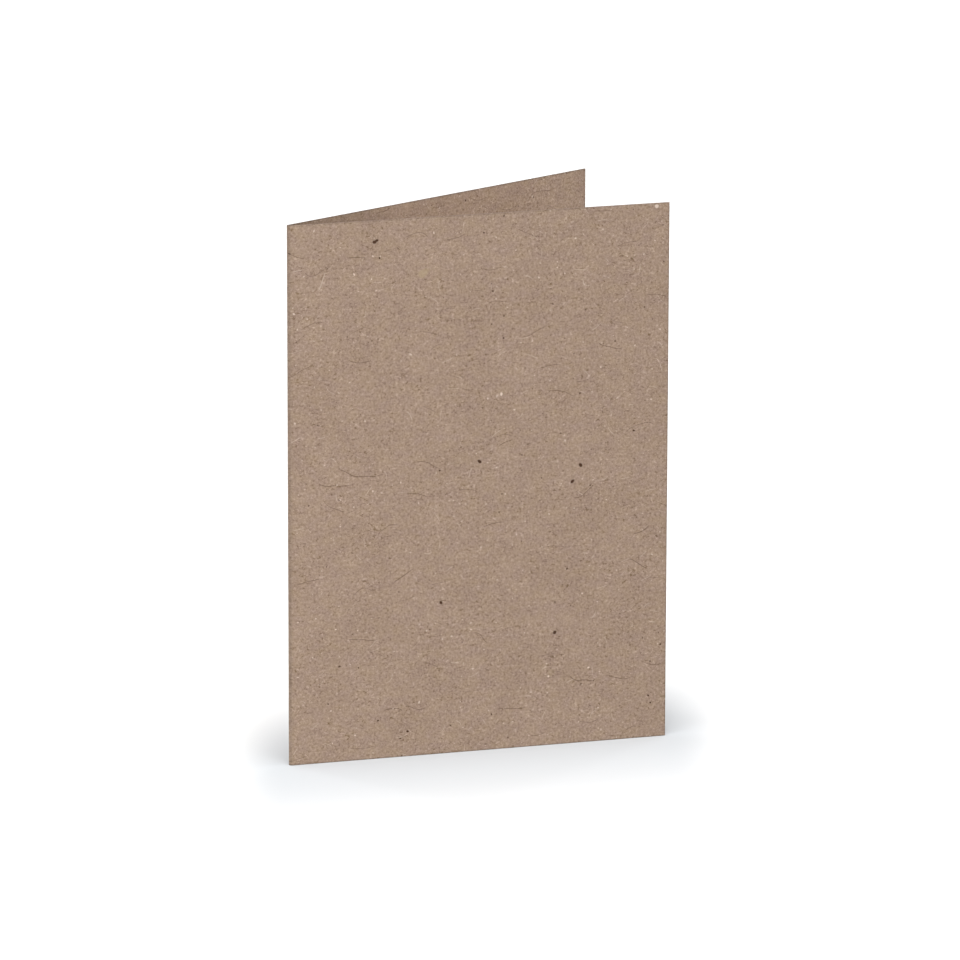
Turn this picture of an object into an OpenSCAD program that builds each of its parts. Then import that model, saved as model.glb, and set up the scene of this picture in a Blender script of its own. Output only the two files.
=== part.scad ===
// Folded card: one sheet of brown recycled board, scored down the middle and folded once,
// standing partly open on its lower edges. Millimetres, +Z up along the fold.

/* [Sheet] */
// Width of each panel, from the outside of the fold to the free edge
panel_w = 105; // [74:1:148]
// Height of the card, along the fold
card_h = 148; // [105:1:210]
// Thickness of the board
board_t = 0.4; // [0.3:0.05:0.6]

/* [Fold] */
// Angle at which the two panels stand open
opening_angle = 25; // [15:1:90]
// Radius of the board's inside face where it turns round the fold
fold_inner_r = 0.3; // [0.2:0.05:0.5]
// Radius of the bead that the scoring rule raises along the inside of the fold
bead_r = 0.25; // [0.1:0.05:0.25]

/* [Cut edges] */
// Radius that the knife rolls onto the outside arris of every cut edge
edge_roll = 0.1; // [0.05:0.01:0.15]

/* [Hidden] */
$fn = 96;
board_brown = [0.65, 0.56, 0.49];

half_angle = opening_angle / 2;
fold_outer_r = fold_inner_r + board_t;
// How far the board turns at the fold
fold_sweep = 180 - opening_angle;
// Angle by which each half of the fold is first made to run past the card's middle plane
past_middle = 5;
// Flat length of a panel, beyond the round of the fold
panel_flat = panel_w - fold_outer_r;
// Furthest reach of the free edges past the fold's axis, at the panels' inside arrises
reach_x = panel_flat * cos(half_angle) - fold_inner_r * sin(half_angle);
// The fold's axis stands here, so that the card's bounding box is centred on the origin
fold_axis_x = (fold_outer_r - reach_x) / 2;

// What the knife's roll takes off a corner that points along +X and -Y, with its arris at the origin
module rolled_off() {
    difference() {
        translate([-edge_roll, -edge_roll]) square(2 * edge_roll);
        translate([-edge_roll, edge_roll]) circle(edge_roll);
    }
}

// Section across the board: X is the distance from the fold's axis, Y the height up the card
module board_section() {
    difference() {
        translate([fold_inner_r, 0]) square([board_t, card_h]);
        translate([fold_outer_r, 0]) rolled_off();
        translate([fold_outer_r, card_h]) mirror([0, 1]) rolled_off();
    }
}

// A flat panel that leaves the fold along -Y, with its outside face towards +X
module panel() {
    difference() {
        rotate([90, 0, 0]) linear_extrude(panel_flat) board_section();
        translate([fold_outer_r, -panel_flat, 0]) linear_extrude(card_h) rolled_off();
    }
}

// The round of the fold, which starts on the +X side and turns towards +Y, to a little past the middle
module half_fold() {
    rotate_extrude(angle = fold_sweep / 2 + past_middle) board_section();
}

// The bead of the score line, along the middle of the fold's inside
module score_bead() {
    translate([fold_inner_r * cos(fold_sweep / 2), fold_inner_r * sin(fold_sweep / 2), 0])
        cylinder(h = card_h, r = bead_r);
}

// The half of the sheet on the +Y side: the back panel, and the fold as far as the card's middle plane
module half_card() {
    intersection() {
        rotate([0, 0, 90 + half_angle]) union() {
            panel();
            half_fold();
            score_bead();
        }
        translate([-panel_w, 0, -panel_w]) cube([3 * panel_w, panel_w, card_h + 2 * panel_w]);
    }
}

// The folded sheet: it opens towards +X, with its front panel on the -Y side
module folded_card() {
    color(board_brown) translate([fold_axis_x, 0, 0])
        for (side = [0, 1]) mirror([0, side, 0]) half_card();
}

folded_card();
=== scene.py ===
"""A folded card of brown recycled board, standing partly open on its lower edges.

The sheet is made flat, as a plate with its knife-rolled arrises, and each of its points is then carried
round the fold. Every point keeps its place on the flat sheet, so the board's fibres follow the fold and
the cut edges show the board's inside. Lengths are metres, +Z is up along the fold.
"""
import functools
import math

import bmesh
import bpy
from bpy.props import FloatProperty, FloatVectorProperty, IntProperty, PointerProperty
from mathutils import Matrix, Vector


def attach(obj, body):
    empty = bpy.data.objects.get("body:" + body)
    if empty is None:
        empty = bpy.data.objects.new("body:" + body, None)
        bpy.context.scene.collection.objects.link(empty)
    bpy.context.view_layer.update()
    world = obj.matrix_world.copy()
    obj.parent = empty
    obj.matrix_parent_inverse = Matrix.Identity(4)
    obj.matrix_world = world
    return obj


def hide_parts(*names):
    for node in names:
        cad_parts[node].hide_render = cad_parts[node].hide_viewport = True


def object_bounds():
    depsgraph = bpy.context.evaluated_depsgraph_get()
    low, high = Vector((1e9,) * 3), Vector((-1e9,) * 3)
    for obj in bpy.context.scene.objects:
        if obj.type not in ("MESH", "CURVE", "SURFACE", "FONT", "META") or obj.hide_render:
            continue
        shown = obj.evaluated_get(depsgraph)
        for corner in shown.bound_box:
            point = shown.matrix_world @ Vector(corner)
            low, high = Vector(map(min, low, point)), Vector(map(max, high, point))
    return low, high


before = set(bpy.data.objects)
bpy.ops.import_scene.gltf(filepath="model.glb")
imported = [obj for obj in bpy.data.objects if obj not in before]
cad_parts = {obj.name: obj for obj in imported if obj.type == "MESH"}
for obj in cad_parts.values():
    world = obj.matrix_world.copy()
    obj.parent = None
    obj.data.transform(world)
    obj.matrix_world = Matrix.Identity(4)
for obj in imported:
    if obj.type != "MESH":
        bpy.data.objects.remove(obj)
CAD_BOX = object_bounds()

bl_info = {
    "name": "Folded card",
    "version": (1, 0, 0),
    "blender": (4, 5, 0),
    "location": "3D View > Sidebar > Folded card",
    "description": "Makes a folded card of brown recycled board and the stage that it stands on",
    "category": "Add Mesh",
}

NODE = "folded_card"
PIECE = "card_sheet"
BOARD_SLOT = "brown_board"
FLAT_PLACE = "flat_place"
BAKE_MAP = "OFBake"
MM = 0.001
# Faces that meet at more than this angle have a sharp edge between them
SHARP_ANGLE = math.radians(35)
# Width of the narrow band of mesh beside each rolled arris, in radii of the roll
ROLL_BAND = 2
# The floor: its radius, its number of sides, and how far it lies below the card's base
FLOOR_RADIUS = 3.0
FLOOR_SIDES = 96
FLOOR_DROP = 0.01 * MM
# Width of the camera's sensor, in millimetres
SENSOR_WIDTH = 36

# Value of the hue's noise at which the board is fully yellower, and below zero fully greyer
HUE_SPREAD = 0.9
# How strongly the short dark fibres show, against the others
SHORT_FIBRES = 0.5
# How much smoother than the mean the palest grain is
GRAIN_POLISH = 0.08
# How much each part of the pulp raises the relief
RELIEF_SHARES = {"grain": 0.5, "mottle": 0.25, "fibres": 0.4, "felt": 0.3, "flecks": 0.2}

# Marks in the front panel, in millimetres from the fold and from the base
# Dark specks: place and width
DARK_SPECKS = (
    (24.0, 142.5, 1.3),
    (24.5, 143.0, 0.9),
    (53.0, 80.0, 1.4),
    (80.5, 77.5, 1.5),
    (78.0, 73.5, 1.5),
    (41.5, 42.5, 1.5),
    (74.0, 31.0, 1.4),
    (24.5, 11.0, 0.6),
    (77.0, 49.0, 0.8),
    (99.5, 11.5, 0.6),
    (100.0, 10.0, 0.6),
    (59.0, 114.0, 0.8),
    (95.5, 85.5, 0.8),
    (41.5, 79.0, 0.8),
    (25.5, 137.5, 0.7),
    (56.0, 126.5, 0.7),
    (104.0, 26.0, 0.8),
    (32.5, 7.0, 0.8),
)
# Pale flecks: place and width
PALE_FLECKS = (
    (59.0, 98.0, 1.1),
    (101.0, 148.0, 1.2),
    (17.5, 133.5, 0.7),
    (22.0, 132.0, 0.6),
    (82.0, 42.0, 0.7),
    (12.5, 36.0, 0.6),
    (71.5, 19.5, 0.7),
    (83.0, 21.0, 0.7),
)
# Flakes of straw: place and width
STRAW_FLAKES = ((37.5, 133.5, 3.4),)
# Long dark fibres: place of the middle, half length, tilt in degrees and bow in 1/mm, where a fibre
# with a tilt above zero rises to the right as seen from the front
LONG_FIBRES = (
    (19.0, 138.0, 3.6, -12.0, -0.02),
    (20.0, 78.0, 8.5, -6.0, 0.03),
    (31.0, 50.5, 3.6, 35.0, -0.06),
    (5.5, 50.5, 3.4, 8.0, 0.02),
    (97.0, 48.5, 3.6, -16.0, -0.02),
    (98.0, 58.5, 3.2, 15.0, 0.0),
    (59.5, 85.0, 3.0, 18.0, 0.0),
    (92.5, 17.5, 5.5, -5.0, 0.01),
    (81.0, 18.0, 4.0, -28.0, 0.02),
    (29.0, 13.0, 3.8, -5.0, -0.03),
)
# Long pale fibres, in the same way
PALE_FIBRES = ((9.5, 132.0, 3.4, 65.0, 0.0),)
# Lamps: bearing from -Y towards -X and rise above the floor in degrees, distance and width in metres
LAMPS = {
    "high_lamp": (28.5, 81.0, 6.0, 3.0),
    "key_lamp": (34.0, 24.0, 6.0, 1.2),
    "left_lamp": (70.0, -2.0, 0.8, 0.08),
    "right_lamp": (-68.0, 4.0, 1.5, 0.2),
    "mouth_lamp": (-112.0, 4.0, 1.5, 0.2),
    "back_lamp": (155.0, 4.0, 2.0, 0.25),
}


class CardSizes(bpy.types.PropertyGroup):
    """Sizes of the folded sheet"""

    panel_width: FloatProperty(
        name="Panel width",
        description="Width of each panel, from the outside of the fold to the free edge",
        default=0.105,
        unit="LENGTH",
    )
    height: FloatProperty(
        name="Height",
        description="Height of the card along the fold",
        default=CAD_BOX[1].z - CAD_BOX[0].z,
        unit="LENGTH",
    )
    board: FloatProperty(
        name="Board",
        description="Thickness of the board",
        default=0.0004,
        unit="LENGTH",
    )
    opening: FloatProperty(
        name="Opening",
        description="Angle at which the two panels stand open",
        default=math.radians(25),
        subtype="ANGLE",
    )
    fold_radius: FloatProperty(
        name="Fold radius",
        description="Radius of the board's inside face round the fold",
        default=0.0003,
        unit="LENGTH",
    )
    bead_radius: FloatProperty(
        name="Bead radius",
        description="Radius of the bead that the scoring rule raises inside the fold",
        default=0.00025,
        unit="LENGTH",
    )
    edge_roll: FloatProperty(
        name="Edge roll",
        description="Radius that the knife rolls onto the outside arris of every cut edge",
        default=0.0001,
        unit="LENGTH",
    )
    cell: FloatProperty(
        name="Cell",
        description="Size of the mesh's cells on the flat panels",
        default=0.004,
        unit="LENGTH",
    )
    roll_steps: IntProperty(
        name="Roll steps",
        description="Steps round each rolled arris",
        default=4,
        min=2,
    )
    fold_steps: IntProperty(
        name="Fold steps",
        description="Steps round the outside of the fold, a multiple of four",
        default=32,
        min=8,
        step=4,
    )


class BoardFinish(bpy.types.PropertyGroup):
    """Colours and grain of the board"""

    ground: FloatVectorProperty(
        name="Ground",
        description="The board's mean colour where it is greyer",
        default=(0.370, 0.265, 0.211),
        subtype="COLOR",
    )
    straw: FloatVectorProperty(
        name="Straw",
        description="The board's mean colour where it is yellower",
        default=(0.385, 0.277, 0.1925),
        subtype="COLOR",
    )
    tone: FloatVectorProperty(
        name="Tone",
        description="Colour by which the grain lightens and darkens the board",
        default=(0.378, 0.304, 0.272),
        subtype="COLOR",
    )
    dark_fibre: FloatVectorProperty(
        name="Dark fibre",
        description="Colour of the dark fibres in the pulp",
        default=(0.12, 0.07, 0.04),
        subtype="COLOR",
    )
    pale_fibre: FloatVectorProperty(
        name="Pale fibre",
        description="Colour of the pale fibres and flecks in the pulp",
        default=(0.76, 0.62, 0.52),
        subtype="COLOR",
    )
    flake: FloatVectorProperty(
        name="Flake",
        description="Colour of the flakes of straw",
        default=(0.47, 0.36, 0.22),
        subtype="COLOR",
    )
    speck: FloatVectorProperty(
        name="Speck",
        description="Colour of the dark specks",
        default=(0.042, 0.011, 0.001),
        subtype="COLOR",
    )
    # This colour is partly the cut's own darker brown and partly painted shade among its fibres
    cut: FloatVectorProperty(
        name="Cut edge",
        description="Colour of the board where it is cut",
        default=(0.115, 0.083, 0.064),
        subtype="COLOR",
    )
    grain: FloatProperty(
        name="Grain",
        description="How far the fine grain departs from the mean colour",
        default=0.56,
        min=0,
    )
    mottle: FloatProperty(
        name="Mottle",
        description="How far the coarser mottling departs from the mean colour",
        default=0.13,
        min=0,
    )
    cloud: FloatProperty(
        name="Cloud",
        description="How far the small clouds in the pulp depart from the mean colour",
        default=0.06,
        min=0,
    )
    felt: FloatProperty(
        name="Felt",
        description="How far the felt of short fibres departs from the mean colour",
        default=0.25,
        min=0,
    )
    # Partly wear where the knife pressed the edges, and partly painted shade along them
    edge_wear_and_shade: FloatProperty(
        name="Edge wear and shade",
        description="How much darker the board is along its cut edges",
        default=0.3,
        min=0,
        max=1,
        subtype="FACTOR",
    )
    # Partly crease wear, and partly painted shade where the fold's nose turns away from the light
    fold_wear_and_shade: FloatProperty(
        name="Fold wear and shade",
        description="How much darker the board is round the fold",
        default=0.3,
        min=0,
        max=1,
        subtype="FACTOR",
    )
    roughness: FloatProperty(
        name="Roughness",
        description="Mean roughness of the board",
        default=0.9,
        min=0,
        max=1,
        subtype="FACTOR",
    )
    relief: FloatProperty(
        name="Relief",
        description="Height of the fibres' relief",
        default=0.00008,
        unit="LENGTH",
    )


class StageLook(bpy.types.PropertyGroup):
    """Floor, lamps and camera"""

    floor_seen: FloatVectorProperty(
        name="Floor seen",
        description="Colour of the floor for the camera",
        default=(0.507, 0.523, 0.539),
        subtype="COLOR",
    )
    floor_glow: FloatVectorProperty(
        name="Floor glow",
        description="Even light that the floor throws back at the card",
        default=(0.2, 0.2, 0.2),
        subtype="COLOR",
    )
    far_lift: FloatVectorProperty(
        name="Far lift",
        description="Light that the floor adds away from the card, so that it shows white there",
        default=(0.33, 0.3, 0.27),
        subtype="COLOR",
    )
    lift_from: FloatProperty(
        name="Lift from",
        description="Distance from the panels' lower edges at which the floor starts to turn white",
        default=0.002,
        unit="LENGTH",
    )
    lift_to: FloatProperty(
        name="Lift to",
        description="Distance from the panels' lower edges at which the floor has its full lift",
        default=0.022,
        unit="LENGTH",
    )
    drawn_in: FloatProperty(
        name="Drawn in",
        description="How much a distance along the camera's sight line counts, against one across it",
        default=0.27,
        subtype="FACTOR",
    )
    sky: FloatProperty(
        name="Sky",
        description="Strength of the even light all round",
        default=0.45,
    )
    high_lamp: FloatProperty(
        name="High lamp",
        description="Power of the wide lamp high above the card, on the camera's side",
        default=420.0,
        unit="POWER",
    )
    key_lamp: FloatProperty(
        name="Key lamp",
        description="Power of the large lamp on the camera's side",
        default=94.0,
        unit="POWER",
    )
    left_lamp: FloatProperty(
        name="Left lamp",
        description="Power of the low lamp at the left",
        default=2.4,
        unit="POWER",
    )
    right_lamp: FloatProperty(
        name="Right lamp",
        description="Power of the low lamp that looks in between the panels from the right",
        default=8.0,
        unit="POWER",
    )
    mouth_lamp: FloatProperty(
        name="Mouth lamp",
        description="Power of the low lamp that looks in between the panels from the right and behind",
        default=9.0,
        unit="POWER",
    )
    back_lamp: FloatProperty(
        name="Back lamp",
        description="Power of the low lamp behind the card",
        default=24.0,
        unit="POWER",
    )
    lens: FloatProperty(
        name="Lens",
        description="Focal length of the camera, in millimetres",
        default=295.949,
    )
    eye: FloatVectorProperty(
        name="Eye",
        description="Place of the camera",
        default=(-0.96876, -1.79848, 0.61696),
        subtype="TRANSLATION",
    )
    bearing: FloatProperty(
        name="Bearing",
        description="How far the camera's sight line turns from +Y towards +X",
        default=math.radians(28.4713),
        subtype="ANGLE",
    )
    dip: FloatProperty(
        name="Dip",
        description="How far the camera looks down",
        default=math.radians(14.9244),
        subtype="ANGLE",
    )
    tilt: FloatProperty(
        name="Tilt",
        description="How far the camera leans about its sight line",
        default=math.radians(0.1396),
        subtype="ANGLE",
    )


def new_object(name, data):
    """Adds an object with this data to the scene."""
    made = bpy.data.objects.new(name, data)
    bpy.context.scene.collection.objects.link(made)
    return made


# The folded sheet


class Fold:
    """Carries a place on the flat sheet to where it stands once the sheet is folded.

    A place is (along, depth): along from the middle of the fold, below zero on the front panel,
    and depth from the board's outside face.
    """

    def __init__(self, sizes):
        self.inner = sizes.fold_radius
        self.outer = sizes.fold_radius + sizes.board
        self.middle = (self.inner + self.outer) / 2
        self.half_opening = sizes.opening / 2
        self.half_turn = math.pi / 2 - self.half_opening
        self.half_arc = self.half_turn * self.middle
        self.flat = sizes.panel_width - self.outer
        self.reach = self.half_arc + self.flat
        far = self.flat * math.cos(self.half_opening) - self.inner * math.sin(self.half_opening)
        self.axis_x = (self.outer - far) / 2

    def stand(self, along, depth):
        """The plan position of a place on the sheet."""
        side = math.copysign(1, along)
        radius = self.outer - depth
        turn = min(abs(along), self.half_arc) / self.middle
        beyond = max(abs(along) - self.half_arc, 0)
        x = self.axis_x - radius * math.cos(turn) + beyond * math.cos(self.half_opening)
        y = radius * math.sin(turn) + beyond * math.sin(self.half_opening)
        return x, side * y

    def bead(self, radius, turn):
        """The place on the sheet of a point on the score bead, at this angle round the bead."""
        x = self.inner - radius * math.cos(turn)
        y = radius * math.sin(turn)
        return math.atan2(y, x) * self.middle, self.outer - math.hypot(x, y)


def steps_between(start, end, step):
    """Places from start up to, and without, end, evenly spaced and about a step apart."""
    count = max(round(abs(end - start) / step), 1)
    return [start + (end - start) * i / count for i in range(count)]


def rolled(radius, steps):
    """A rolled arris: pairs of the inset from the cut face and the inset from the outside face."""
    turns = [math.pi / 2 * i / steps for i in range(steps + 1)]
    return [(radius * (1 - math.cos(a)), radius * (1 - math.sin(a))) for a in turns]


def panel_columns(sizes, fold):
    """The back panel's columns, as pairs of the place along it and the inset of the outside face."""
    roll = rolled(sizes.edge_roll, sizes.roll_steps)
    band = ROLL_BAND * sizes.edge_roll
    last = fold.reach - sizes.edge_roll
    places = [fold.half_arc]
    places += steps_between(fold.half_arc + band, last - band, sizes.cell)
    places += [last - band]
    columns = [(along, 0.0) for along in places]
    columns += [(fold.reach - inset, depth) for inset, depth in reversed(roll)]
    return columns


def inside_fold(sizes, fold):
    """Places round the fold's inside, from the front panel to the back one, with the bead halfway."""
    quarter = sizes.fold_steps // 4
    meet = 2 * math.asin(sizes.bead_radius / (2 * fold.inner))
    bead_turn = (math.pi - meet) / 2
    groove = [
        ((fold.half_turn + (meet - fold.half_turn) * i / quarter) * fold.middle, sizes.board)
        for i in range(quarter)
    ]
    half = sizes.fold_steps // 2 - quarter
    bead = [
        fold.bead(sizes.bead_radius, bead_turn * (half - i) / half)
        for i in range(half)
    ]
    side = groove + bead
    tip = fold.bead(sizes.bead_radius, 0)
    front = [(-along, depth) for along, depth in side]
    return front + [tip] + side[::-1]


def sheet_columns(sizes, fold):
    """The sheet's columns from the front panel's free edge to the back one's.

    Each is the outside place and inset, then the inside place and depth.
    """
    panel = panel_columns(sizes, fold)[1:]
    back = [(along, inset, along, sizes.board) for along, inset in panel]
    front = [(-along, inset, -along, sizes.board) for along, inset in reversed(panel)]
    turns = sizes.fold_steps
    outside = [fold.half_arc * (2 * i / turns - 1) for i in range(turns + 1)]
    nose = [(along, 0.0, *inside) for along, inside in zip(outside, inside_fold(sizes, fold))]
    return front + nose + back


def sheet_levels(sizes):
    """Pairs of height and inset of the outside face, from the base to the top."""
    roll = rolled(sizes.edge_roll, sizes.roll_steps)
    band = ROLL_BAND * sizes.edge_roll
    low = sizes.edge_roll + band
    high = sizes.height - low
    levels = list(roll)
    levels += [(z, 0.0) for z in steps_between(low, high, sizes.cell)]
    levels += [(high, 0.0)]
    levels += [(sizes.height - z, inset) for z, inset in reversed(roll)]
    return levels


def spread(values, least):
    """Places from 0 to 1 for a row of values, with no step narrower than least before it is scaled."""
    places = [0.0]
    for before, after in zip(values, values[1:]):
        places.append(places[-1] + max(abs(after - before), least))
    return [p / places[-1] for p in places]


class SheetMesh:
    """Builds the sheet's closed mesh, with each vertex's place on the flat sheet and a bake map."""

    # Bands of the bake's map: the outside face, the inside face and the four cut edges between them
    OUTSIDE_BAND = (0.001, 0.488)
    INSIDE_BAND = (0.512, 0.999)
    CUT_BANDS = ((0.490, 0.494), (0.496, 0.500), (0.501, 0.505), (0.506, 0.510))
    LEAST_STEP = 0.25 * MM

    def __init__(self, sizes):
        self.fold = Fold(sizes)
        self.columns = sheet_columns(sizes, self.fold)
        self.levels = sheet_levels(sizes)
        self.across = spread([column[0] for column in self.columns], self.LEAST_STEP)
        self.up = spread([z for z, inset in self.levels], self.LEAST_STEP)
        self.bm = bmesh.new()
        self.flat = self.bm.verts.layers.float_vector.new(FLAT_PLACE)
        self.map = self.bm.loops.layers.uv.new(BAKE_MAP)
        self.outside = self.grid(self.outside_vert)
        self.inside = self.grid(self.inside_vert)
        self.faces()
        self.cut_faces()

    def grid(self, vert):
        """A vertex for every level of every column."""
        return [[vert(column, level) for level in self.levels] for column in self.columns]

    def vert(self, along, depth, z):
        x, y = self.fold.stand(along, depth)
        vert = self.bm.verts.new((x, y, z))
        vert[self.flat] = Vector((along, depth, z))
        return vert

    def outside_vert(self, column, level):
        return self.vert(column[0], max(column[1], level[1]), level[0])

    def inside_vert(self, column, level):
        return self.vert(column[2], column[3], level[0])

    def face(self, corners, places):
        face = self.bm.faces.new(corners)
        face.smooth = True
        for loop, place in zip(face.loops, places):
            loop[self.map].uv = place

    def faces(self):
        """The outside and the inside of the sheet."""
        for i in range(len(self.columns) - 1):
            for k in range(len(self.levels) - 1):
                ring = ((i, k), (i + 1, k), (i + 1, k + 1), (i, k + 1))
                self.face_of(self.inside, ring, self.INSIDE_BAND)
                self.face_of(self.outside, ring[::-1], self.OUTSIDE_BAND)

    def face_of(self, verts, ring, band):
        low, high = band
        places = [(self.across[i], low + (high - low) * self.up[k]) for i, k in ring]
        self.face([verts[i][k] for i, k in ring], places)

    def cut_faces(self):
        """The cut edges: base, top and the two free edges."""
        last_column = len(self.columns) - 1
        last_level = len(self.levels) - 1
        base, top, front, back = self.CUT_BANDS
        for i in range(last_column):
            places = (self.across[i], self.across[i + 1])
            self.cut_face((i, 0), (i + 1, 0), places, base)
            self.cut_face((i + 1, last_level), (i, last_level), places[::-1], top)
        for k in range(last_level):
            places = (self.up[k], self.up[k + 1])
            self.cut_face((0, k + 1), (0, k), places[::-1], front)
            self.cut_face((last_column, k), (last_column, k + 1), places, back)

    def cut_face(self, a, b, places, band):
        (i, k), (j, m) = a, b
        corners = (self.outside[i][k], self.outside[j][m], self.inside[j][m], self.inside[i][k])
        start, end = places
        low, high = band
        self.face(corners, ((start, low), (end, low), (end, high), (start, high)))

    def made(self, name, sharp):
        """The finished mesh, with a sharp edge wherever two faces meet at more than that angle."""
        for edge in self.bm.edges:
            edge.smooth = edge.calc_face_angle(0) < sharp
        mesh = bpy.data.meshes.new(name)
        self.bm.to_mesh(mesh)
        self.bm.free()
        return mesh


# Shader nodes


def pick(sockets, key):
    """A node's socket by its number, or the first one in use by its name or identifier."""
    if isinstance(key, int):
        return sockets[key]
    return next(s for s in sockets if s.enabled and key in (s.name, s.identifier))


class Signal:
    """An output of a shader node. Arithmetic on values adds Math nodes."""

    def __init__(self, nodes, socket):
        self.nodes = nodes
        self.socket = socket

    def __add__(self, other):
        return self.nodes.math("ADD", self, other)

    def __sub__(self, other):
        return self.nodes.math("SUBTRACT", self, other)

    def __rsub__(self, other):
        return self.nodes.math("SUBTRACT", other, self)

    def __mul__(self, other):
        return self.nodes.math("MULTIPLY", self, other)

    def __truediv__(self, other):
        return self.nodes.math("DIVIDE", self, other)

    def __lt__(self, other):
        return self.nodes.math("LESS_THAN", self, other)

    def __gt__(self, other):
        return self.nodes.math("GREATER_THAN", self, other)

    def __abs__(self):
        return self.nodes.math("ABSOLUTE", self)

    __radd__ = __add__
    __rmul__ = __mul__


class Nodes:
    """A node tree that is written as expressions."""

    def __init__(self, tree):
        self.tree = tree
        tree.nodes.clear()

    def add(self, kind, settings, values):
        """Adds a node: its settings first, then each socket's value or link."""
        node = self.tree.nodes.new(kind)
        for name, setting in settings.items():
            setattr(node, name, setting)
        for key, value in values.items():
            socket = pick(node.inputs, key)
            if isinstance(value, Signal):
                self.tree.links.new(value.socket, socket)
            else:
                socket.default_value = value
        return node

    def read(self, node, key=0):
        return Signal(self, pick(node.outputs, key))

    def math(self, operation, *values):
        node = self.add("ShaderNodeMath", {"operation": operation}, dict(enumerate(values)))
        return self.read(node)

    def vector_math(self, operation, values):
        return self.add("ShaderNodeVectorMath", {"operation": operation}, values)

    def vector(self, operation, *values):
        return self.read(self.vector_math(operation, dict(enumerate(values))))

    def scaled(self, vector, factor):
        return self.read(self.vector_math("SCALE", {0: vector, "Scale": factor}))

    def length(self, vector):
        return self.read(self.vector_math("LENGTH", {0: vector}), "Value")

    def dot(self, a, b):
        return self.read(self.vector_math("DOT_PRODUCT", {0: a, 1: b}), "Value")

    def joined(self, x, y):
        return self.read(self.add("ShaderNodeCombineXYZ", {}, {0: x, 1: y}))

    def parts(self, vector):
        node = self.add("ShaderNodeSeparateXYZ", {}, {0: vector})
        return [self.read(node, i) for i in range(3)]

    def least(self, *values):
        return functools.reduce(lambda a, b: self.math("MINIMUM", a, b), values)

    def most(self, *values):
        return functools.reduce(lambda a, b: self.math("MAXIMUM", a, b), values)

    def rise(self, value, low, high):
        """A smooth step from 0 at low to 1 at high. With low above high, it falls."""
        values = {"Value": value, "From Min": low, "From Max": high}
        return self.read(self.add("ShaderNodeMapRange", {"interpolation_type": "SMOOTHSTEP"}, values))

    def cloudy(self, vector, scale, detail, roughness=0.5):
        """A node of cloudy noise."""
        values = {"Vector": vector, "Scale": scale, "Detail": detail, "Roughness": roughness}
        return self.add("ShaderNodeTexNoise", {"noise_dimensions": "2D"}, values)

    def noise(self, vector, scale, detail=1.0, roughness=0.5):
        """Cloudy noise about zero, from about -1 to 1."""
        return between(-1, 1, self.read(self.cloudy(vector, scale, detail, roughness)))

    def blend(self, factor, a, b):
        """Colour a where factor is 0 and b where it is 1."""
        values = {"Factor_Float": factor, "A_Color": opaque(a), "B_Color": opaque(b)}
        return self.read(self.add("ShaderNodeMix", {"data_type": "RGBA"}, values), "Result_Color")

    def covered(self, colour, by, where, cover):
        """A colour with so much of another laid over it, where a signal is 1."""
        return self.blend(self.rise(where, 0.0, 1.0) * cover, colour, by)


def opaque(colour):
    """A colour as a socket takes it."""
    return colour if isinstance(colour, Signal) else (*colour, 1.0)


def between(low, high, share):
    """The value at this share of the way from low to high."""
    return share * (high - low) + low


# The board's material


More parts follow.
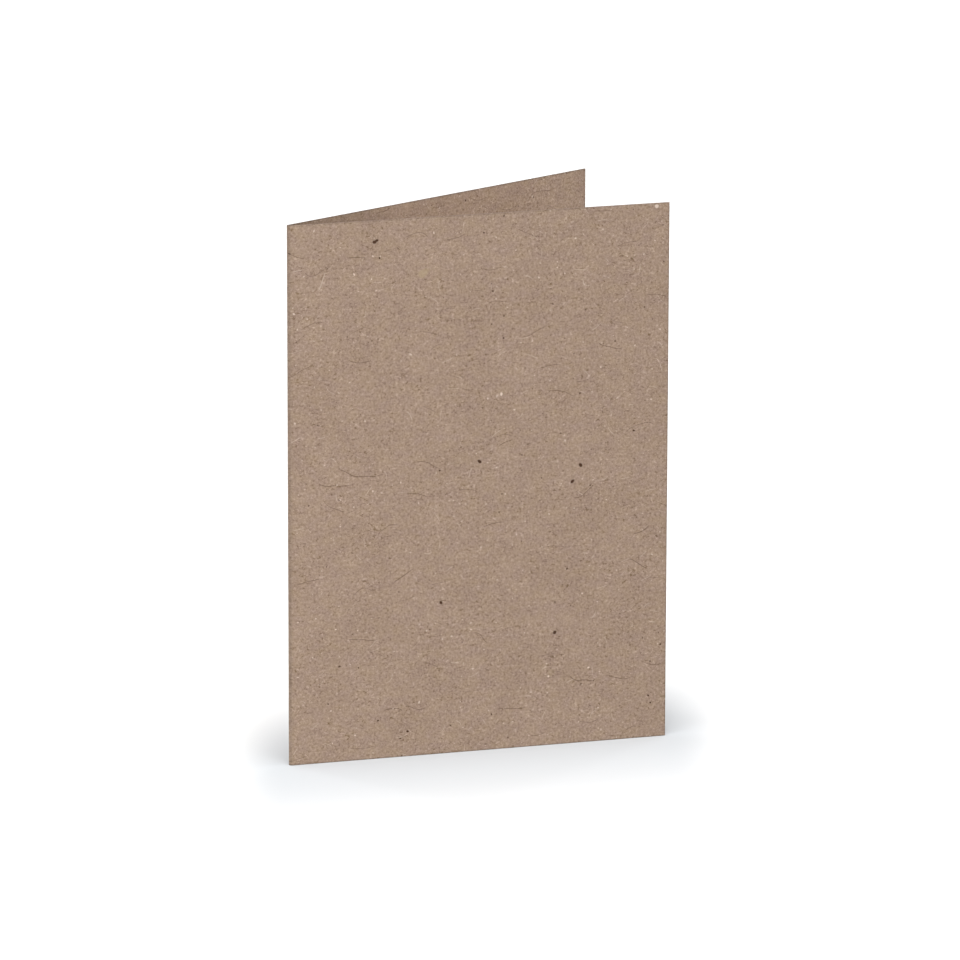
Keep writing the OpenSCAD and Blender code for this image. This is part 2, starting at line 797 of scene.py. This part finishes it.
class Pulp:
    """The fibres, flecks and specks of the board, drawn on the sheet's faces in millimetres."""

    # Shift between the parts of the pulp that the sheet's two faces show
    INSIDE_SHIFT = (370.0, 210.0)
    # Fibres lie mostly along the sheet, so the grain is drawn out that way
    DRAWN_OUT = (0.7, 1.0, 1.0)
    # How far a seed moves a pattern up, for each step that it moves it along
    SEED_SLOPE = 0.7
    # Waves that bend the fibres: number per millimetre, detail, mean, and size along and up
    WAVE_SCALE = 0.14
    WAVE_DETAIL = 0.5
    WAVE_MEAN = (0.5, 0.5, 0.5)
    WAVE_SIZE = (3.0, 3.0, 0.0)
    # Half widths of the scattered fibres and of the long ones
    FIBRE_WIDTH = 0.14
    LONG_FIBRE_WIDTH = 0.18
    # Shares of a fibre's width, a fibre's length and a speck's width that aren't faded
    FIBRE_CORE = 0.3
    FIBRE_BODY = 0.5
    SPECK_CORE = 0.4
    # The shortest fibre, the smallest speck and the faintest of both, as shares of the full one
    LEAST_LENGTH = 0.3
    LEAST_SIZE = 0.3
    LEAST_SHOW = 0.4
    # Amounts in which two chances are mixed to make another
    CHANCE_MIX = (13.7, 7.3)
    # Height of the cells that hold one speck each, for a width of 1
    SPECK_CELL = 0.8
    # Breaks in the felt: their number against its lines, and how softly a line ends at one
    BREAK_SCALE = 1.3
    BREAK_FADE = 0.3
    # Clumps of felt: number per millimetre, detail, the noise between and in them, and the felt there
    CLUMP_SCALE = 0.16
    CLUMP_DETAIL = 2.0
    CLUMP_NOISE = (-0.4, 0.5)
    CLUMP_FELT = (0.65, 1.35)
    # Width of the darkening along the cut edges, partly wear and partly painted shade
    EDGE_WEAR_AND_SHADE = 0.55
    # Wear and painted shade round the fold, in half arcs of the fold: none from the first on, and full
    # up to the second
    FOLD_WEAR_AND_SHADE = (1.4, 0.4)
    # Cracks in that darkening: number per millimetre along and up, detail, and how much they change it
    CRACK_SCALE = (4.0, 0.9)
    CRACK_DETAIL = 2.0
    CRACK_DEPTH = 0.5
    # Depths at which a cut edge starts to show and shows fully, and how near the inside face it ends
    CUT_STARTS = (0.03, 0.12)
    CUT_ENDS = 0.03
    # How much thinner the board's layers are than long, and how much they change the cut's colour
    LAYER_SCALE = 14.0
    LAYER_CONTRAST = 0.3

    def __init__(self, nodes, sizes):
        self.nodes = nodes
        attribute = nodes.add("ShaderNodeAttribute", {"attribute_name": FLAT_PLACE}, {})
        place = nodes.scaled(nodes.read(attribute, "Vector"), 1 / MM)
        self.along, self.depth, self.up = nodes.parts(place)
        self.board = sizes.board / MM
        fold = Fold(sizes)
        self.half_arc = fold.half_arc / MM
        self.margin = nodes.least(
            fold.reach / MM - abs(self.along),
            self.up,
            sizes.height / MM - self.up,
        )
        inside = self.depth > self.board / 2
        shift_x, shift_y = self.INSIDE_SHIFT
        self.plane = nodes.joined(self.along + inside * shift_x, self.up + inside * shift_y)
        self.lying = nodes.vector("MULTIPLY", self.plane, self.DRAWN_OUT)
        wave = nodes.read(nodes.cloudy(self.plane, self.WAVE_SCALE, self.WAVE_DETAIL), "Color")
        sway = nodes.vector("SUBTRACT", wave, self.WAVE_MEAN)
        self.wavy = nodes.vector("ADD", self.plane, nodes.vector("MULTIPLY", sway, self.WAVE_SIZE))

    def moved(self, place, seed):
        """A place in another part of the pulp for each seed."""
        return self.nodes.vector("ADD", place, (seed, seed * self.SEED_SLOPE, 0.0))

    def cells(self, width, height, seed):
        """One scattered place in each cell: the way from the nearest one, and three chances for it."""
        nodes = self.nodes
        size = (width, height, 1.0)
        place = self.moved(nodes.vector("DIVIDE", self.wavy, size), seed)
        cell = nodes.add(
            "ShaderNodeTexVoronoi",
            {"voronoi_dimensions": "2D", "feature": "F1"},
            {"Vector": place, "Scale": 1.0, "Randomness": 1.0},
        )
        way = nodes.vector("SUBTRACT", place, nodes.read(cell, "Position"))
        return nodes.vector("MULTIPLY", way, size), nodes.parts(nodes.read(cell, "Color"))

    def strand(self, way, turn, bow, reach, width):
        """One fibre: a bowed line through the origin of way, faded at its ends."""
        nodes = self.nodes
        settings = {"rotation_type": "Z_AXIS"}
        turned = nodes.add("ShaderNodeVectorRotate", settings, {"Vector": way, "Angle": turn})
        u, v = nodes.parts(nodes.read(turned))[:2]
        line = nodes.rise(abs(v - bow * (u * u)), width, width * self.FIBRE_CORE)
        return line * nodes.rise(abs(u) / reach, 1.0, self.FIBRE_BODY)

    def fibres(self, cell, reach, turn, bow, share, seed):
        """Scattered fibres: one in this share of the cells, turned and bowed by up to so much."""
        way, (a, b, c) = self.cells(*cell, seed)
        turned = between(-1, 1, a) * turn
        bowed = between(-1, 1, b) * bow
        length = between(self.LEAST_LENGTH, 1, c) * reach
        strand = self.strand(way, turned, bowed, length, self.FIBRE_WIDTH)
        mix_a, mix_b = self.CHANCE_MIX
        chance = self.nodes.math("FRACT", a * mix_a + b * mix_b)
        return strand * (chance < share) * between(self.LEAST_SHOW, 1, c)

    def felt(self, scale, width, seed):
        """A felt of short curly fibres: thin level lines of one noise, broken up by another."""
        nodes = self.nodes
        place = self.moved(self.lying, seed)
        line = nodes.rise(abs(nodes.noise(place, scale)), width, 0.0)
        return line * nodes.rise(nodes.noise(place, scale * self.BREAK_SCALE), 0.0, self.BREAK_FADE)

    def clumps(self):
        """How much of the felt there is at each place."""
        noise = self.nodes.noise(self.lying, self.CLUMP_SCALE, self.CLUMP_DETAIL)
        return between(*self.CLUMP_FELT, self.nodes.rise(noise, *self.CLUMP_NOISE))

    def specks(self, cell, width, share, seed, strength):
        """Scattered specks in this share of the cells, of which a few are large."""
        way, (a, b, c) = self.cells(cell, cell * self.SPECK_CELL, seed)
        size = between(self.LEAST_SIZE, 1, b * b) * (width / 2)
        speck = self.nodes.rise(self.nodes.length(way) / size, 1.0, self.SPECK_CORE)
        return speck * (a < share) * between(self.LEAST_SHOW, 1, c) * strength

    def front(self, from_fold, up):
        """The way from a mark in the front panel."""
        return self.nodes.vector("SUBTRACT", self.wavy, (-from_fold, up, 0.0))

    def mark(self, from_fold, up, width):
        """One speck in the front panel."""
        distance = self.nodes.length(self.front(from_fold, up))
        return self.nodes.rise(distance, width / 2, width / 2 * self.SPECK_CORE)

    def long_fibre(self, from_fold, up, reach, tilt, bow):
        """One long fibre in the front panel."""
        way = self.front(from_fold, up)
        return self.strand(way, math.radians(tilt), bow, reach, self.LONG_FIBRE_WIDTH)

    def marks(self, places):
        """The specks at these places."""
        return sum(self.mark(*place) for place in places)

    def long_fibres(self, places):
        """The long fibres at these places."""
        return sum(self.long_fibre(*place) for place in places)

    def worn_and_shaded(self, edge, crease):
        """What the wear and painted shade leave of the colour along the cut edges and round the fold.
        """
        nodes = self.nodes
        across, up = self.CRACK_SCALE
        place = nodes.joined(self.along * across, self.up * up)
        cracks = nodes.noise(place, 1.0, self.CRACK_DETAIL) * self.CRACK_DEPTH
        none, full = self.FOLD_WEAR_AND_SHADE
        round_fold = nodes.rise(abs(self.along), self.half_arc * none, self.half_arc * full)
        along_edge = nodes.rise(self.margin, self.EDGE_WEAR_AND_SHADE, 0.0)
        return 1 - along_edge * edge - round_fold * (1 + cracks) * crease

    def cut(self):
        """1 on the cut edges and 0 on the sheet's two faces."""
        nodes = self.nodes
        starts = nodes.rise(self.depth, *self.CUT_STARTS)
        return starts * nodes.rise(self.depth, self.board, self.board - self.CUT_ENDS)

    def layers(self):
        """What the board's layers make of the colour of a cut."""
        place = self.nodes.joined(self.along + self.up, self.depth * self.LAYER_SCALE)
        return 1 + self.nodes.noise(place, scale=0.9, detail=2.0, roughness=0.6) * self.LAYER_CONTRAST


def board_material(finish, sizes):
    """Brown recycled board: fibres, flecks and specks on a mottled ground, darker where it is cut, with
    wear and painted shade along its edges and round the fold.
    """
    material = bpy.data.materials.new(BOARD_SLOT)
    material.use_nodes = True
    nodes = Nodes(material.node_tree)
    pulp = Pulp(nodes, sizes)

    # The ground: its hue and its grain
    hue = nodes.noise(pulp.lying, scale=0.3, detail=3.0, roughness=0.6)
    ground = nodes.blend(nodes.rise(hue, -HUE_SPREAD, HUE_SPREAD), finish.ground, finish.straw)
    mottle = nodes.noise(pulp.plane, scale=0.07, detail=4.0, roughness=0.75)
    grain = nodes.noise(pulp.plane, scale=1.5, detail=3.0, roughness=0.75)
    felt = pulp.felt(scale=0.85, width=0.14, seed=31.0)
    felt -= pulp.felt(scale=0.95, width=0.12, seed=7.0)
    felt -= pulp.felt(scale=0.6, width=0.08, seed=53.0)
    felt *= pulp.clumps()
    shade = mottle * finish.mottle + hue * finish.cloud + grain * finish.grain + felt * finish.felt
    colour = nodes.vector("ADD", ground, nodes.scaled(finish.tone, shade))

    # Fibres, mostly lying along the sheet
    dark = pulp.fibres(cell=(13.0, 8.0), reach=5.0, turn=0.45, bow=0.1, share=0.6, seed=3.1)
    short = pulp.fibres(cell=(7.0, 5.0), reach=2.2, turn=1.1, bow=0.2, share=0.4, seed=17.7)
    dark += short * SHORT_FIBRES
    dark += pulp.long_fibres(LONG_FIBRES)
    pale = pulp.fibres(cell=(7.0, 5.0), reach=2.0, turn=1.6, bow=0.25, share=0.5, seed=67.9)
    pale += pulp.long_fibres(PALE_FIBRES)
    colour = nodes.covered(colour, finish.dark_fibre, where=dark, cover=0.6)
    colour = nodes.covered(colour, finish.pale_fibre, where=pale, cover=0.35)

    # Flakes, flecks and specks
    flakes = pulp.specks(cell=40.0, width=3.4, share=0.4, seed=83.0, strength=0.6)
    flakes += pulp.marks(STRAW_FLAKES)
    colour = nodes.covered(colour, finish.flake, where=flakes, cover=0.5)
    flecks = pulp.specks(cell=2.4, width=0.75, share=0.24, seed=23.0, strength=0.75)
    flecks += pulp.marks(PALE_FLECKS)
    colour = nodes.covered(colour, finish.pale_fibre, where=flecks, cover=0.9)
    specks = pulp.specks(cell=2.8, width=0.85, share=0.12, seed=59.0, strength=0.8)
    specks += pulp.marks(DARK_SPECKS)
    colour = nodes.covered(colour, finish.speck, where=specks, cover=0.9)

    # Wear and painted shade along the cut edges and round the fold, and the cut edges, where the
    # board's layers show
    colour = nodes.scaled(colour, pulp.worn_and_shaded(finish.edge_wear_and_shade, finish.fold_wear_and_shade))
    # The cut edges' colour, partly their own and partly painted shade
    colour = nodes.blend(pulp.cut(), colour, nodes.scaled(finish.cut, pulp.layers()))

    # The relief of the pulp, and the dull surface
    fibres = nodes.rise(dark + pale, 0.0, 1.0)
    heights = {"grain": grain, "mottle": mottle, "fibres": fibres, "felt": felt, "flecks": flecks}
    relief = sum(height * RELIEF_SHARES[name] for name, height in heights.items())
    bump = nodes.add(
        "ShaderNodeBump",
        {},
        {"Strength": 0.8, "Distance": finish.relief, "Height": relief},
    )
    shader = nodes.add(
        "ShaderNodeBsdfPrincipled",
        {},
        {
            "Base Color": colour,
            "Roughness": finish.roughness - grain * GRAIN_POLISH,
            "Specular IOR Level": 0.25,
            "Normal": nodes.read(bump),
        },
    )
    nodes.add("ShaderNodeOutputMaterial", {}, {"Surface": nodes.read(shader)})
    return material


class CARD_OT_sheet(bpy.types.Operator):
    """Make the folded sheet in place of its plain solid"""

    bl_idname = "folded_card.make_sheet"
    bl_label = "Make the folded sheet"

    def execute(self, context):
        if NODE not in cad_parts:
            raise RuntimeError("The frame has no node " + NODE)
        sizes = context.scene.card_sizes
        mesh = SheetMesh(sizes).made(PIECE, SHARP_ANGLE)
        mesh.materials.append(board_material(context.scene.board_finish, sizes))
        sheet = new_object(PIECE, mesh)
        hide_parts(NODE)
        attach(sheet, "root")
        return {"FINISHED"}


# The stage


def seen_or_lit(nodes, lit, seen):
    """One shader for light on things, and one for what is seen straight, in a mirror or in glass."""
    path = nodes.add("ShaderNodeLightPath", {}, {})
    names = ("Is Camera Ray", "Is Glossy Ray", "Is Transmission Ray")
    straight = nodes.most(*(nodes.read(path, name) for name in names))
    values = {0: straight, 1: nodes.read(lit), 2: nodes.read(seen)}
    return nodes.read(nodes.add("ShaderNodeMixShader", {}, values))


def white_sky(look):
    """A white backdrop, which gives an even light of its own strength."""
    world = bpy.data.worlds.new("white_sky")
    world.use_nodes = True
    nodes = Nodes(world.node_tree)
    white = (1.0, 1.0, 1.0, 1.0)
    light = nodes.add("ShaderNodeBackground", {}, {"Color": white, "Strength": look.sky})
    backdrop = nodes.add("ShaderNodeBackground", {}, {"Color": white, "Strength": 1.0})
    nodes.add("ShaderNodeOutputWorld", {}, {"Surface": seen_or_lit(nodes, light, backdrop)})
    return world


def sight_line(bearing, dip):
    """Directions to the right of a sight line and along it."""
    level = math.cos(dip)
    right = Vector((math.cos(bearing), -math.sin(bearing), 0))
    ahead = Vector((math.sin(bearing) * level, math.cos(bearing) * level, -math.sin(dip)))
    return right, ahead


def from_edge(nodes, way, edge):
    """Distance of a place from an edge that starts at the origin."""
    share = nodes.dot(way, edge) / edge.length_squared
    share = nodes.most(nodes.least(share, 1.0), 0.0)
    return nodes.length(nodes.vector("SUBTRACT", way, nodes.scaled(edge, share)))


def from_panels(nodes, look):
    """Distance on the floor from the nearer panel's lower edge, drawn in along the sight line. It
    shapes the floor's painted shadow.
    """
    low, high = CAD_BOX
    right, ahead = sight_line(look.bearing, 0)
    ahead *= look.drawn_in
    points = (Vector((low.x, 0, 0)), Vector((high.x, low.y, 0)), Vector((high.x, high.y, 0)))
    fold, *corners = [Vector((point.dot(right), point.dot(ahead), 0)) for point in points]
    place = nodes.read(nodes.add("ShaderNodeNewGeometry", {}, {}), "Position")
    drawn = nodes.joined(nodes.dot(place, right), nodes.dot(place, ahead))
    way = nodes.vector("SUBTRACT", drawn, fold)
    return nodes.least(*(from_edge(nodes, way, corner - fold) for corner in corners))


def floor_material(look):
    """A pale floor that shows white away from the card. Near the card it keeps the lamps' shadow, and
    where its added glow fades towards the panels' lower edges that shadow is partly painted.
    """
    material = bpy.data.materials.new("white_floor")
    material.use_nodes = True
    nodes = Nodes(material.node_tree)
    # The glow that turns the floor white fades near the panels' lower edges, which paints a shadow
    # round the card
    away = nodes.rise(from_panels(nodes, look), look.lift_from, look.lift_to)
    lift = nodes.add("ShaderNodeEmission", {}, {"Color": nodes.scaled(look.far_lift, away)})
    paint = nodes.add("ShaderNodeBsdfDiffuse", {}, {"Color": opaque(look.floor_seen)})
    lifted = nodes.add("ShaderNodeAddShader", {}, {0: nodes.read(lift), 1: nodes.read(paint)})
    glow = nodes.add("ShaderNodeEmission", {}, {"Color": opaque(look.floor_glow)})
    nodes.add("ShaderNodeOutputMaterial", {}, {"Surface": seen_or_lit(nodes, glow, lifted)})
    return material


def make_floor(look):
    """A wide disc under the card."""
    bm = bmesh.new()
    bmesh.ops.create_circle(bm, cap_ends=True, segments=FLOOR_SIDES, radius=FLOOR_RADIUS)
    mesh = bpy.data.meshes.new("floor")
    bm.to_mesh(mesh)
    bm.free()
    mesh.materials.append(floor_material(look))
    floor = new_object("floor", mesh)
    floor.location.z = -FLOOR_DROP


def make_lamp(name, power, bearing, rise, distance, width):
    """A square soft lamp that faces the card, with its bearing and its rise in degrees."""
    turn = math.radians(bearing)
    lift = math.radians(rise)
    level = distance * math.cos(lift)
    data = bpy.data.lights.new(name, "AREA")
    data.energy = power
    data.size = width
    lamp = new_object(name, data)
    middle = Vector((0, 0, (CAD_BOX[0].z + CAD_BOX[1].z) / 2))
    way = Vector((-level * math.sin(turn), -level * math.cos(turn), distance * math.sin(lift)))
    lamp.location = middle + way
    lamp.rotation_euler = (-way).to_track_quat("-Z", "Y").to_euler()


def make_camera(look):
    """The camera, from its place and the three turns of its sight line."""
    level, ahead = sight_line(look.bearing, look.dip)
    above = level.cross(ahead)
    right = level * math.cos(look.tilt) + above * math.sin(look.tilt)
    up = above * math.cos(look.tilt) - level * math.sin(look.tilt)
    data = bpy.data.cameras.new("camera")
    data.lens = look.lens
    data.sensor_width = SENSOR_WIDTH
    camera = new_object("camera", data)
    axes = Matrix((right, up, -ahead)).transposed()
    camera.matrix_world = Matrix.Translation(look.eye) @ axes.to_4x4()
    bpy.context.scene.camera = camera


class CARD_OT_stage(bpy.types.Operator):
    """Set the floor, the lamps, the backdrop and the camera"""

    bl_idname = "folded_card.set_stage"
    bl_label = "Set the stage"

    def execute(self, context):
        look = context.scene.stage_look
        context.scene.view_settings.view_transform = "Standard"
        context.scene.world = white_sky(look)
        make_floor(look)
        for name, place in LAMPS.items():
            make_lamp(name, getattr(look, name), *place)
        make_camera(look)
        return {"FINISHED"}


class CARD_PT_panel(bpy.types.Panel):
    """The card's sizes, finish and stage"""

    bl_label = "Folded card"
    bl_idname = "CARD_PT_panel"
    bl_space_type = "VIEW_3D"
    bl_region_type = "UI"
    bl_category = "Folded card"

    def draw(self, context):
        for group in GROUPS:
            box = self.layout.box()
            for name in GROUPS[group].__annotations__:
                box.prop(getattr(context.scene, group), name)
        for operator in OPERATORS:
            self.layout.operator(operator.bl_idname)


GROUPS = {"card_sizes": CardSizes, "board_finish": BoardFinish, "stage_look": StageLook}
OPERATORS = (CARD_OT_sheet, CARD_OT_stage)
CLASSES = (*GROUPS.values(), *OPERATORS, CARD_PT_panel)


def register():
    for cls in CLASSES:
        bpy.utils.register_class(cls)
    for name, group in GROUPS.items():
        setattr(bpy.types.Scene, name, PointerProperty(type=group))


def unregister():
    for name in GROUPS:
        delattr(bpy.types.Scene, name)
    for cls in reversed(CLASSES):
        bpy.utils.unregister_class(cls)


def main():
    register()
    bpy.ops.folded_card.make_sheet()
    bpy.ops.folded_card.set_stage()


if __name__ == "__main__":
    main()
